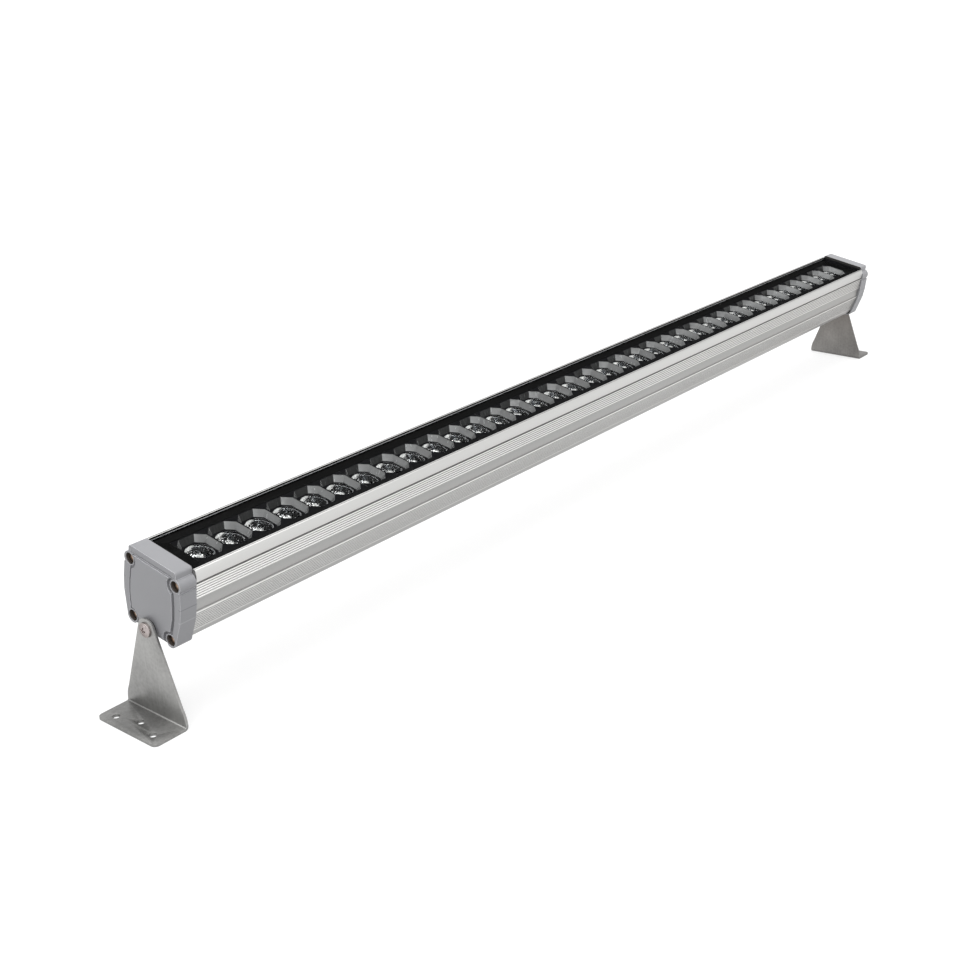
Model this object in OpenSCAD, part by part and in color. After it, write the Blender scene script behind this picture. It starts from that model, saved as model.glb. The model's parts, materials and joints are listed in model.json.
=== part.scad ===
// Outdoor wall washer light: a ribbed aluminium extrusion with a glass front,
// six lens trays over six lamp boards, two cast end caps and two swivel brackets.
// Millimetres. X runs along the lamp, Z is up, and the floor under the feet is z = 0.
// The pieces of the lamp body are drawn about the pivot axis and then leant as stored.

/* [Lamp] */
// Length over the two end caps
lamp_len = 1000; // [900:10:1300]
// Height of the pivot axis above the mounting surface
pivot_h = 65.4; // [62:0.2:110]
// Lean of the lamp body on its brackets as stored, in degrees
rest_tilt = 10.3; // [0:0.1:30]

/* [Housing extrusion] */
// Width over the ribbed sides
house_w = 53.6; // [52:0.2:60]
// Height from the underside to the lips beside the glass
house_h = 53.6; // [52:0.2:58]
// How far the underside lies below the pivot axis
house_drop = 3.4; // [3:0.1:5]
// Thickness of the outer walls
wall_t = 2.2; // [1.6:0.1:2.6]
// Thickness of the cross web that carries the lamp boards
web_t = 2.5; // [2:0.1:4]
// Width of each rounded rim beside the glass
rim_w = 3.6; // [3.4:0.1:5.2]
// Depth of the ribs on the upper side bands
rib_depth = 0.7; // [0.3:0.05:1]
// Depth of the fine comb on the lower side bands
comb_depth = 0.55; // [0.3:0.05:0.9]
// Number of ribs on each upper side band
rib_count = 6; // [4:1:8]
// Number of teeth on each lower comb
comb_count = 10; // [6:1:14]

/* [Glass] */
// Thickness of the front glass
glass_t = 3; // [2.5:0.1:4]
// Thickness of the seal tape under the glass
seal_t = 0.6; // [0.4:0.1:1]

/* [Optics] */
// Depth of each eight sided light well above its lens
well_depth = 5; // [3:0.1:7]
// Radius of each lens at its rim
lens_r = 10; // [8:0.1:10.4]
// Height of each lens from the lamp board to its rim
lens_h = 12.2; // [10:0.1:13]
// Thickness of the lamp boards
board_t = 1.6; // [1:0.1:2]

/* [End caps] */
// Depth of each end cap along the lamp
cap_depth = 13.5; // [12:0.5:20]
// Radius of the four screw bosses of a cap
boss_r = 5.4; // [5.2:0.1:6.6]
// Height of a cap above the lips of the extrusion
cap_rise = 2.3; // [1:0.1:4]
// How far the centre panel of a cap stands proud
panel_rise = 0.8; // [0.3:0.1:1.5]
// Radius of the counterbores for the cap screws
counterbore_r = 4.1; // [3.9:0.05:4.4]
// Thickness of the gaskets behind the caps
gasket_t = 0.8; // [0.5:0.1:1.5]

/* [Brackets] */
// Thickness of the bracket sheet
sheet_t = 2; // [1.5:0.1:3]
// Width of the foot and of the upright at the bend
foot_w = 61; // [56:1:80]
// Reach of the foot beyond the upright
foot_reach = 26; // [24:0.5:40]
// Radius of the rounded top of the upright
apex_r = 7.8; // [7.2:0.1:11]
// Radius of the holes in the foot
foot_hole_r = 2.6; // [2.2:0.05:3.2]
// Spacing of the two outer foot holes
foot_hole_span = 38.8; // [34:0.2:44]
// Radius of the pivot screws
pivot_r = 2.5; // [2:0.1:3]
// Thickness of the spacer between cap and upright
spacer_t = 2; // [1:0.1:6]

/* [Cable gland] */
// Radius of the thread of the cable gland
gland_r = 6; // [5:0.1:7]
// Radius of the cable hole through the gland seal
cable_r = 3.5; // [2.5:0.1:3.6]
// Height of the gland above the pivot axis
gland_up = 24; // [22:0.5:28]

/* [Hidden] */
$fn = 48;

// Overrun of cuts past the face they open
cut = 1;
// Running clearance between a screw or pin and its hole
fit_gap = 0.05;
// Loose clearance round parts that are slid into place
slide_gap = 0.2;
// Extra wall beside the screw channels
wall_play = 0.5;

// Levels of the extrusion measured from the pivot axis
house_top = house_h - house_drop;
house_low = -house_drop;
half_w = house_w / 2;
house_len = lamp_len - 2 * (cap_depth + gasket_t);

// Heights of the side bands as shares of the extrusion height, from the lips down
rim_share = 0.168;
groove_share = 0.189;
rib_share = 0.407;
ridge_share = 0.575;
comb_top_share = 0.597;
comb_low_share = 0.896;
strip_share = 0.914;
rim_z = house_top - rim_share * house_h;
groove_z = house_top - groove_share * house_h;
rib_z = house_top - rib_share * house_h;
ridge_z = house_top - ridge_share * house_h;
comb_top_z = house_top - comb_top_share * house_h;
comb_low_z = house_top - comb_low_share * house_h;
strip_z = house_top - strip_share * house_h;

// Half widths of the extrusion where the comb ends and at the underside
comb_inset = 3.4;
under_inset = 6;
comb_low_half = half_w - comb_inset;
under_half = half_w - under_inset;
// Lip beside the glass, the fine line behind it and the depth of the side groove
lip_t = 0.9;
line_w = 0.4;
line_depth = 0.4;
groove_depth = 1.2;
// How far the ridge between the bands stands past the ribs
ridge_out = 0.3;
// Segments of each rounded rim
rim_steps = 8;
// Part of each rib pitch taken by the rising flank and by flank and crest together
flank_share = 0.16;
crest_share = 0.6;

// Glass, its pocket between the lips and the shelf that carries it
glass_down = 0.4;
glass_gap = 0.3;
pocket_half = half_w - rim_w;
glass_half = pocket_half - glass_gap;
glass_top = house_top - glass_down;
glass_low = glass_top - glass_t;
shelf_z = glass_low - seal_t;
glass_len = house_len - 2 * glass_gap;

// Screw channels of the extrusion, which also place the cap screws and bosses
port_r = 2;
port_wall = 1.4;
port_up_inset = 4.4;
port_up_drop = 8.1;
port_low_inset = 7.6;
port_low_rise = 2.6;
port_up_y = half_w - port_up_inset;
port_up_z = house_top - port_up_drop;
port_low_y = half_w - port_low_inset;
port_low_z = house_low + port_low_rise;

// Chambers inside the extrusion
slot_half = port_up_y - port_r - port_wall - wall_play;
tray_top = glass_low - slide_gap;
rim_plane = tray_top - well_depth;
board_top = rim_plane - lens_h;
board_low = board_top - board_t;
web_low = board_low - web_t;
slot_low = port_up_z - port_r - port_wall;
room_half = half_w - rib_depth - wall_t;
driver_half = port_low_y - port_r - port_wall - wall_play;
floor_z = house_low + wall_t;
knee_z = port_low_z + port_r + port_wall + wall_play;
knee_half = comb_low_half - comb_depth - wall_t;

// Trays, cells and lenses
tray_count = 6;
cell_count = 6;
row_margin = 12.3;
tray_len = (house_len - 2 * row_margin) / tray_count;
cell_pitch = tray_len / cell_count;
tray_gap = 0.4;
tray_half = slot_half - slide_gap;
deck_t = 8.2;
rail_t = 1.4;
cell_web = 1.3;
cell_side = 4.3;
cell_x = cell_pitch - cell_web;
cell_y = 2 * (tray_half - cell_side);
cell_corner = 6;
neck_t = 1.2;
neck_half = cell_y / 2 + neck_t;
shelf_t = 1.6;
shelf_half = neck_half + slide_gap;
shoulder_z = shelf_z - shelf_t - slide_gap;
well_gap = 0.3;
well_ledge = 0.2;
well_scale = (lens_r + well_gap + well_ledge) / (cell_x / 2);

// Lens shape and the light source under it
lens_foot_r = 4.6;
lens_foot_h = 0.8;
lens_flange_h = 1.6;
lens_waist = 0.4;
dome_h = 2.6;
dome_r = (lens_r * lens_r + dome_h * dome_h) / (2 * dome_h);
lens_hollow_r = 2.9;
lens_hollow_h = 2.6;
led_side = 3.4;
led_t = 0.7;
led_dome_r = 1.25;

// Lamp boards, their screws and the driver
board_half = tray_half - slide_gap;
board_screw_r = 1.45;
board_screw_inset = 4.7;
board_screw_y = tray_half - board_screw_inset;
board_screw_head_r = 2.8;
board_screw_head_h = 1.8;
driver_len = 280;
driver_play = 5.5;
driver_h = web_low - floor_z - driver_play;

// Seal tape frame
seal_side = pocket_half - glass_gap;
seal_open = shelf_half;
seal_open_len = tray_count * tray_len + tray_gap;

// End cap outline
cap_under = 1.6;
cap_top_inset = 3.5;
crease_out = 0.9;
swell_out = 1.6;
taper_out = 1.3;
cap_corner_r = 2;
cap_top = house_top + cap_rise;
cap_bottom = house_low - cap_under;
cap_top_half = half_w - cap_top_inset;
crease_half = half_w + crease_out;
swell_half = half_w + swell_out;
taper_half = half_w + taper_out;
port_span = port_up_z - port_low_z;
crease_share = 0.096;
swell_share = 0.364;
taper_share = 0.597;
crease_z = port_up_z - crease_share * port_span;
swell_z = port_up_z - swell_share * port_span;
taper_z = port_up_z - taper_share * port_span;

// Raised centre panel of a cap
panel_border = 8.2;
panel_top_drop = 5.6;
panel_low_rise = 1.5;
panel_scoop = 1.4;
panel_bow = 0.9;
groove_w = 1.9;
groove_low = 0.7;
panel_top = cap_top - panel_top_drop;
panel_bottom = cap_bottom + panel_low_rise;
panel_scoop_r = boss_r + panel_scoop;

// Inside of a cap and its screws
cap_wall = 4;
cap_side_wall = 4;
cap_room_drop = 1;
cap_room_half = port_up_y - boss_r;
cap_room_wide = half_w - cap_side_wall;
cap_room_top = shelf_z - cap_room_drop;
cap_room_low = 8;
cap_room_step = port_up_z - boss_r - wall_play;
cap_hole_r = port_r + slide_gap;
head_seat = 5.8;
screw_head_r = 3.7;
screw_head_h = 2.8;
screw_bite = 12;
recess_w = 0.9;
recess_depth = 1.4;
recess_share = 1.15;

// Pivot hardware
insert_wall = 1.3;
insert_len = 11;
spacer_rim = 2.2;
head_share = 2.1;
dome_share = 1.6;
insert_r = pivot_r + insert_wall;
spacer_r = apex_r - spacer_rim;
pivot_head_r = pivot_r * head_share;
pivot_dome_r = pivot_head_r * dome_share;
pivot_head_h = 2.8;
pivot_head_edge = 1.5;
pivot_recess_w = 1.2;

// Bracket shape
bend_r = 1;
plate_in = lamp_len / 2 + panel_rise + spacer_t;
plate_out = plate_in + sheet_t;
foot_tip = plate_out + foot_reach;
foot_corner_r = 4;
side_rise = 3;
side_blend = 12;
blend_steps = 6;
side_blend_in = 3.2;
hole_edge = 7.6;
taper_start_half = foot_w / 2 - side_blend_in;
outer_hole_x = plate_out + foot_reach - hole_edge;
middle_hole_x = plate_out + foot_reach / 2;

// Cable gland
flange_rim = 2;
flange_t = 4;
spigot_step = 0.4;
spigot_wall = 1.1;
spigot_len = 6.5;
locknut_t = 3;
cap_nut_rim = 1.5;
flange_flats = 2 * (gland_r + flange_rim);
spigot_r = gland_r - spigot_step;
spigot_bore_r = spigot_r - spigot_wall;
cap_nut_flats = 2 * (gland_r + cap_nut_rim);
cap_nut_len = 9;
cap_nut_hex_len = 6;
gland_seal_len = 6;
hex_sides = 6;

// Helpers

// Leans the lamp body about the pivot axis
module on_pivot() {
  translate([0, 0, pivot_h]) rotate([rest_tilt, 0, 0]) children();
}

// Turns an outline in Y and Z into a bar from x0 to x1
module bar(x0, x1) {
  translate([x0, 0, 0]) rotate([90, 0, 90]) linear_extrude(x1 - x0) children();
}

// A cylinder along X from x0 to x1 at a given Y and Z
module rod(x0, x1, r, y = 0, z = 0) {
  translate([x0, y, z]) rotate([0, 90, 0]) cylinder(h = x1 - x0, r = r);
}

// Places the near end as drawn and the far end as its mirror image
module at_end(far) {
  if (far) mirror([1, 0, 0]) children();
  else children();
}

// Points of one side followed by the same points on the other side
function both_sides(side) =
  concat(side, [for (i = [len(side) - 1 : -1 : 0]) [-side[i][0], side[i][1]]]);

// Centres of the four screw channels
function ports() =
  [for (s = [-1, 1]) each [[s * port_up_y, port_up_z], [s * port_low_y, port_low_z]]];

// Distance across flats to the radius of the corners of a hexagon
function hex_r(flats) = flats / 2 / cos(180 / hex_sides);

// Housing outline

function rim_points() =
  [for (i = [0 : rim_steps])
    let (a = 90 * i / rim_steps, inner = pocket_half + lip_t + line_w)
    [inner + (half_w - inner) * sin(a), rim_z + (house_top - rim_z) * cos(a)]];

function rib_points(count, top_z, low_z, top_y, low_y, depth) =
  [for (i = [0 : count - 1])
    let (pitch = (top_z - low_z) / count,
         z = top_z - pitch * i,
         y = top_y + (low_y - top_y) * i / count)
    each [[y - depth, z], [y, z - flank_share * pitch], [y, z - crest_share * pitch],
          [y - depth, z - (crest_share + flank_share) * pitch]]];

function lip_points() =
  [[0, house_top], [pocket_half + lip_t, house_top], [pocket_half + lip_t, house_top - line_depth],
   [pocket_half + lip_t + line_w, house_top - line_depth]];

function foot_points() =
  [[comb_low_half, comb_low_z], [comb_low_half, strip_z], [under_half, house_low]];

module housing_outline() {
  polygon(both_sides(concat(
    lip_points(),
    rim_points(),
    [[half_w - groove_depth, rim_z], [half_w - groove_depth, groove_z]],
    rib_points(rib_count, groove_z, rib_z, half_w, half_w + ridge_out, rib_depth),
    [[half_w - rib_depth, rib_z], [half_w - rib_depth, ridge_z],
     [half_w + ridge_out, ridge_z], [half_w + ridge_out, comb_top_z]],
    rib_points(comb_count, comb_top_z, comb_low_z, half_w, comb_low_half, comb_depth),
    foot_points())));
}

// Outline of the extrusion without ribs, just inside the real one
module plain_outline() {
  polygon(both_sides([
    [pocket_half + lip_t, house_top],
    [half_w - groove_depth, rim_z],
    [half_w - groove_depth, comb_top_z],
    [comb_low_half - comb_depth, comb_low_z],
    [comb_low_half - comb_depth, strip_z],
    [under_half, house_low]]));
}

module upper_room() {
  polygon(both_sides([[shelf_half, shelf_z + cut], [shelf_half, shelf_z - shelf_t],
                      [slot_half, shelf_z - shelf_t], [slot_half, slot_low],
                      [room_half, slot_low], [room_half, board_low]]));
}

module lower_room() {
  polygon(both_sides([[room_half, web_low], [room_half, comb_top_z], [knee_half, knee_z],
                      [driver_half, knee_z], [driver_half, floor_z]]));
}

module board_screw_places() {
  for (tray = [0 : tray_count - 1], s = [-1, 1])
    translate([tray_x(tray) + s * 2 * cell_pitch, s * board_screw_y, 0]) children();
}

function tray_x(tray) = (tray - (tray_count - 1) / 2) * tray_len;
function cell_place(cell) = (cell - (cell_count - 1) / 2) * cell_pitch;

module housing() {
  color([0.80, 0.80, 0.78]) on_pivot() difference() {
    bar(-house_len / 2, house_len / 2) difference() {
      housing_outline();
      translate([-pocket_half, shelf_z]) square([2 * pocket_half, house_top - shelf_z + cut]);
      upper_room();
      lower_room();
      for (p = ports()) translate(p) circle(port_r);
    }
    board_screw_places()
      translate([0, 0, web_low - cut]) cylinder(h = web_t + 2 * cut, r = board_screw_r + fit_gap);
  }
}

// Glass and seal

module glass_cover() {
  color([0.75, 0.82, 0.85, 0.35]) on_pivot()
    translate([-glass_len / 2, -glass_half, glass_low]) cube([glass_len, 2 * glass_half, glass_t]);
}

module glass_seal() {
  color([0.05, 0.05, 0.05]) on_pivot() difference() {
    translate([-glass_len / 2, -seal_side, shelf_z]) cube([glass_len, 2 * seal_side, seal_t]);
    translate([-seal_open_len / 2, -seal_open, shelf_z - cut])
      cube([seal_open_len, 2 * seal_open, seal_t + 2 * cut]);
  }
}

// Optics

module cell_outline() {
  polygon(both_sides([
    [cell_x / 2 - cell_corner, -cell_y / 2], [cell_x / 2, cell_corner - cell_y / 2],
    [cell_x / 2, cell_y / 2 - cell_corner], [cell_x / 2 - cell_corner, cell_y / 2]]));
}

// An eight sided well that narrows from the tray top to the lens rim
module light_well() {
  translate([0, 0, tray_top]) mirror([0, 0, 1])
    linear_extrude(well_depth, scale = well_scale) cell_outline();
  translate([0, 0, rim_plane - deck_t]) cylinder(h = deck_t + slide_gap, r = lens_r + well_gap);
}

module lens_tray(tray) {
  tray_x0 = tray_x(tray - 1) - tray_len / 2 + tray_gap / 2;
  color([0.07, 0.07, 0.075]) on_pivot() difference() {
    bar(tray_x0, tray_x0 + tray_len - tray_gap) polygon(both_sides([
      [neck_half, tray_top], [neck_half, shoulder_z], [tray_half, shoulder_z],
      [tray_half, board_top], [tray_half - rail_t, board_top],
      [tray_half - rail_t, tray_top - deck_t]]));
    for (cell = [0 : cell_count - 1])
      translate([tray_x(tray - 1) + cell_place(cell), 0, 0]) light_well();
  }
}

// Half section of a lens, with its foot on the board and a domed face at the rim
module lens_section() {
  flange_low = lens_h - lens_flange_h;
  intersection() {
    union() {
      polygon([[0, 0], [lens_foot_r, 0], [lens_foot_r, lens_foot_h],
               [lens_r - lens_waist, flange_low], [lens_r, flange_low], [lens_r, lens_h], [0, lens_h]]);
      intersection() {
        translate([0, lens_h + dome_h - dome_r]) circle(dome_r, $fn = 96);
        translate([0, lens_h - lens_foot_h]) square([lens_r, dome_h + lens_foot_h]);
      }
    }
    square([lens_r, lens_h + dome_h]);
  }
}

module lens() {
  translate([0, 0, board_top]) difference() {
    rotate_extrude() lens_section();
    translate([0, 0, -cut]) cylinder(h = lens_hollow_h + cut, r = lens_hollow_r);
  }
}

module lens_set(tray) {
  color([0.85, 0.88, 0.9, 0.5]) on_pivot()
    for (cell = [0 : cell_count - 1])
      translate([tray_x(tray - 1) + cell_place(cell), 0, 0]) lens();
}

module led() {
  translate([-led_side / 2, -led_side / 2, board_top]) cube([led_side, led_side, led_t]);
  translate([0, 0, board_top + led_t]) intersection() {
    sphere(led_dome_r);
    translate([-led_dome_r, -led_dome_r, -led_t / 2]) cube(2 * led_dome_r);
  }
}

module led_set(tray) {
  color([0.9, 0.85, 0.5]) on_pivot()
    for (cell = [0 : cell_count - 1])
      translate([tray_x(tray - 1) + cell_place(cell), 0, 0]) led();
}

module lamp_board(tray) {
  board_len = tray_len - tray_gap;
  color([0.9, 0.9, 0.88]) on_pivot() difference() {
    translate([tray_x(tray - 1) - board_len / 2, -board_half, board_low])
      cube([board_len, 2 * board_half, board_t]);
    board_screw_places()
      translate([0, 0, board_low - cut])
        cylinder(h = board_t + 2 * cut, r = board_screw_r + fit_gap);
  }
}

module board_screws() {
  color([0.7, 0.7, 0.7]) on_pivot() board_screw_places() {
    translate([0, 0, web_low]) cylinder(h = board_top - web_low + board_t / 2, r = board_screw_r);
    translate([0, 0, board_top]) cylinder(h = board_screw_head_h, r = board_screw_head_r);
  }
}

module led_driver() {
  color([0.3, 0.3, 0.32]) on_pivot()
    translate([-driver_len / 2, slide_gap - driver_half, floor_z])
      cube([driver_len, 2 * (driver_half - slide_gap), driver_h]);
}

// End caps, drawn for the near end

module flank_outline() {
  polygon(both_sides([
    [cap_top_half, port_up_z + boss_r / 2],
    [port_up_y, port_up_z],
    [crease_half, crease_z],
    [swell_half, swell_z],
    [taper_half, taper_z],
    [port_low_y + boss_r, port_low_z],
    [port_low_y, port_low_z],
    [port_low_y - boss_r / 2, cap_bottom]]));
}

module cap_outline() {
  translate([-cap_top_half, port_up_z])
    square([2 * cap_top_half, cap_top - cap_corner_r - port_up_z]);
  translate([cap_corner_r - cap_top_half, port_up_z])
    square([2 * (cap_top_half - cap_corner_r), cap_top - port_up_z]);
  for (s = [-1, 1])
    translate([s * (cap_top_half - cap_corner_r), cap_top - cap_corner_r]) circle(cap_corner_r);
  for (p = ports()) translate(p) circle(boss_r);
  flank_outline();
}

// The raised panel, or with a margin round it the groove that sets it off
module panel_outline(margin = 0) {
  border = panel_border - margin;
  scoop_r = panel_scoop_r - margin;
  difference() {
    polygon(both_sides([
      [crease_half - border, panel_top + margin],
      [crease_half - border, crease_z],
      [swell_half - border + panel_bow / 2, swell_z],
      [taper_half - border + panel_bow, taper_z],
      [port_low_y + margin, port_low_z + scoop_r],
      [port_low_y - panel_bow + margin, panel_bottom - margin]]));
    for (p = ports()) translate(p) circle(scoop_r);
  }
}

module cap_room() {
  polygon(both_sides([
    [cap_room_half, cap_room_top], [cap_room_half, cap_room_step],
    [cap_room_wide, cap_room_step], [cap_room_wide, taper_z],
    [port_low_y, cap_room_low]]));
}

module end_cap(far) {
  x0 = -lamp_len / 2;
  color([0.60, 0.60, 0.62]) on_pivot() at_end(far) difference() {
    union() {
      bar(x0 + groove_low, x0 + cap_depth) cap_outline();
      bar(x0, x0 + cut) difference() {
        cap_outline();
        panel_outline(groove_w);
      }
      bar(x0 - panel_rise, x0 + cut) panel_outline();
    }
    bar(x0 + cap_wall, x0 + cap_depth + cut) cap_room();
    for (p = ports()) {
      rod(x0 - cut, x0 + head_seat, counterbore_r, p[0], p[1]);
      rod(x0, x0 + cap_depth + cut, cap_hole_r, p[0], p[1]);
    }
    rod(x0 - panel_rise - cut, x0 - panel_rise + insert_len, insert_r + fit_gap);
    if (far) rod(x0 - panel_rise - cut, x0 + cap_wall + cut, gland_r + fit_gap, 0, gland_up);
  }
}

module cap_gasket(far) {
  x0 = -lamp_len / 2 + cap_depth;
  color([0.12, 0.12, 0.12]) on_pivot() at_end(far) bar(x0, x0 + gasket_t) difference() {
    plain_outline();
    cap_room();
    for (p = ports()) translate(p) circle(cap_hole_r);
  }
}

// A cross recess cut into a screw head along X
module cross_recess(x0, r, w) {
  for (a = [0, 90])
    rotate([a, 0, 0]) translate([x0 - cut, -r / recess_share / 2, -w / 2])
      cube([recess_depth + cut, r / recess_share, w]);
}

module cap_screws(far) {
  x0 = -lamp_len / 2 + head_seat;
  color([0.45, 0.40, 0.36]) on_pivot() at_end(far) for (p = ports()) translate([0, p[0], p[1]]) {
    difference() {
      rod(x0 - screw_head_h, x0, screw_head_r);
      cross_recess(x0 - screw_head_h, screw_head_r, recess_w);
    }
    rod(x0 - screw_head_h / 2, -lamp_len / 2 + cap_depth + gasket_t + screw_bite, port_r - fit_gap);
  }
}

// Pivot hardware, drawn for the near end

module pivot_insert(far) {
  x0 = -lamp_len / 2 - panel_rise;
  color([0.78, 0.62, 0.30]) on_pivot() at_end(far) difference() {
    rod(x0, x0 + insert_len, insert_r);
    rod(x0 - cut, x0 + insert_len + cut, pivot_r + fit_gap);
  }
}

module pivot_spacer(far) {
  color([0.15, 0.15, 0.15]) on_pivot() at_end(far) difference() {
    rod(-plate_in, spacer_t - plate_in, spacer_r);
    rod(-plate_in - cut, spacer_t - plate_in + cut, pivot_r + fit_gap);
  }
}

module pivot_screw(far) {
  x0 = -plate_out;
  color([0.80, 0.79, 0.78]) on_pivot() at_end(far) {
    difference() {
      union() {
        rod(x0 - pivot_head_edge, x0, pivot_head_r);
        intersection() {
          rod(x0 - pivot_head_h, x0 - pivot_head_edge / 2, pivot_head_r);
          translate([x0 - pivot_head_h + pivot_dome_r, 0, 0]) sphere(pivot_dome_r, $fn = 96);
        }
      }
      cross_recess(x0 - pivot_head_h, pivot_head_r, pivot_recess_w);
    }
    rod(x0 - pivot_head_edge / 2, insert_len - lamp_len / 2 - panel_rise, pivot_r);
  }
}

// Brackets, drawn for the near end with the foot towards -X

function quad(a, b, c, t) = a * (1 - t) * (1 - t) + b * 2 * t * (1 - t) + c * t * t;

// Where a line from a point touches the rounded top
function apex_touch(p) =
  let (v = p - [0, pivot_h], a = acos(apex_r / norm(v)), b = atan2(v[1], v[0]))
  [0, pivot_h] + apex_r * [cos(b + a), sin(b + a)];

function upright_side() =
  let (low = [foot_w / 2, side_rise], mid = [foot_w / 2, side_rise + side_blend / 2],
       top = [taper_start_half, side_rise + side_blend])
  concat([[foot_w / 2, 0]], [for (i = [0 : blend_steps]) quad(low, mid, top, i / blend_steps)],
         [apex_touch(top), [0, pivot_h]]);

module upright_outline() {
  polygon(both_sides(upright_side()));
  translate([0, pivot_h]) circle(apex_r);
}

module foot_outline() {
  length = foot_tip - plate_in;
  translate([-foot_tip + foot_corner_r, -foot_w / 2]) square([length - foot_corner_r, foot_w]);
  translate([-foot_tip, foot_corner_r - foot_w / 2]) square([length, foot_w - 2 * foot_corner_r]);
  for (s = [-1, 1])
    translate([foot_corner_r - foot_tip, s * (foot_w / 2 - foot_corner_r)]) circle(foot_corner_r);
}

// Section of the bent sheet in X and Z
module bend_section() {
  bend_x = -plate_out - bend_r;
  bend_z = sheet_t + bend_r;
  translate([-plate_out, bend_z]) square([sheet_t, pivot_h + apex_r]);
  translate([-foot_tip, 0]) square([bend_x + foot_tip, sheet_t]);
  translate([bend_x, bend_z]) intersection() {
    difference() {
      circle(bend_r + sheet_t);
      circle(bend_r);
    }
    translate([0, -bend_z]) square(bend_z);
  }
}

module bracket(far) {
  color([0.62, 0.62, 0.61]) at_end(far) difference() {
    intersection() {
      translate([0, foot_w / 2, 0]) rotate([90, 0, 0]) linear_extrude(foot_w) bend_section();
      union() {
        bar(-plate_out - bend_r, cut - plate_in) upright_outline();
        linear_extrude(sheet_t + bend_r) foot_outline();
      }
    }
    rod(-plate_out - cut, cut - plate_in, pivot_r + fit_gap, 0, pivot_h);
    for (s = [-1, 1])
      translate([-outer_hole_x, s * foot_hole_span / 2, -cut])
        cylinder(h = sheet_t + 2 * cut, r = foot_hole_r);
    translate([-middle_hole_x, 0, -cut]) cylinder(h = sheet_t + 2 * cut, r = foot_hole_r);
  }
}

// Cable gland on the far cap, drawn at the near end and mirrored

module gland_frame() {
  on_pivot() at_end(true) translate([-lamp_len / 2 - panel_rise, 0, gland_up]) children();
}

module hex_bar(x0, x1, flats) {
  translate([x0, 0, 0]) rotate([0, 90, 0]) cylinder(h = x1 - x0, r = hex_r(flats), $fn = hex_sides);
}

module gland_body() {
  color([0.10, 0.10, 0.10]) gland_frame() difference() {
    union() {
      hex_bar(-flange_t, 0, flange_flats);
      rod(-cut, panel_rise + cap_wall + locknut_t, gland_r);
      rod(-flange_t - spigot_len, cut - flange_t, spigot_r);
    }
    rod(-flange_t - spigot_len - cut, panel_rise + cap_wall + locknut_t + cut, spigot_bore_r);
  }
}

module gland_locknut() {
  color([0.12, 0.12, 0.12]) gland_frame() difference() {
    hex_bar(panel_rise + cap_wall, panel_rise + cap_wall + locknut_t, flange_flats);
    rod(panel_rise + cap_wall - cut, panel_rise + cap_wall + locknut_t + cut, gland_r + fit_gap);
  }
}

module gland_seal() {
  color([0.06, 0.06, 0.06]) gland_frame() difference() {
    rod(-flange_t - spigot_len, gland_seal_len - flange_t - spigot_len, spigot_bore_r - fit_gap);
    rod(-flange_t - spigot_len - cut, gland_seal_len + cut - flange_t - spigot_len, cable_r);
  }
}

module gland_cap_nut() {
  x_in = -flange_t;
  x_out = -flange_t - cap_nut_len;
  color([0.11, 0.11, 0.11]) gland_frame() difference() {
    union() {
      hex_bar(x_in - cap_nut_hex_len, x_in, cap_nut_flats);
      rod(x_out, x_in, cap_nut_flats / 2);
    }
    rod(-flange_t - spigot_len, x_in + cut, spigot_r + fit_gap);
    rod(x_out - cut, x_in, cable_r + slide_gap);
  }
}

housing();
glass_cover();
glass_seal();
lens_tray(1);  // lens_tray_1
lens_tray(2);  // lens_tray_2
lens_tray(3);  // lens_tray_3
lens_tray(4);  // lens_tray_4
lens_tray(5);  // lens_tray_5
lens_tray(6);  // lens_tray_6
lens_set(1);  // lens_set_1
lens_set(2);  // lens_set_2
lens_set(3);  // lens_set_3
lens_set(4);  // lens_set_4
lens_set(5);  // lens_set_5
lens_set(6);  // lens_set_6
led_set(1);  // led_set_1
led_set(2);  // led_set_2
led_set(3);  // led_set_3
led_set(4);  // led_set_4
led_set(5);  // led_set_5
led_set(6);  // led_set_6
lamp_board(1);  // lamp_board_1
lamp_board(2);  // lamp_board_2
lamp_board(3);  // lamp_board_3
lamp_board(4);  // lamp_board_4
lamp_board(5);  // lamp_board_5
lamp_board(6);  // lamp_board_6
board_screws();
led_driver();
end_cap(false);  // end_cap_near
end_cap(true);  // end_cap_far
cap_gasket(false);  // cap_gasket_near
cap_gasket(true);  // cap_gasket_far
cap_screws(false);  // cap_screws_near
cap_screws(true);  // cap_screws_far
pivot_insert(false);  // pivot_insert_near
pivot_insert(true);  // pivot_insert_far
pivot_spacer(false);  // pivot_spacer_near
pivot_spacer(true);  // pivot_spacer_far
pivot_screw(false);  // pivot_screw_near
pivot_screw(true);  // pivot_screw_far
bracket(false);  // bracket_near
bracket(true);  // bracket_far
gland_body();
gland_locknut();
gland_seal();
gland_cap_nut();
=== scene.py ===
"""Looks of the outdoor wall washer light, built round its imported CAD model."""
import json
import math

import bmesh
import bpy
from mathutils import Matrix, Vector

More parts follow.
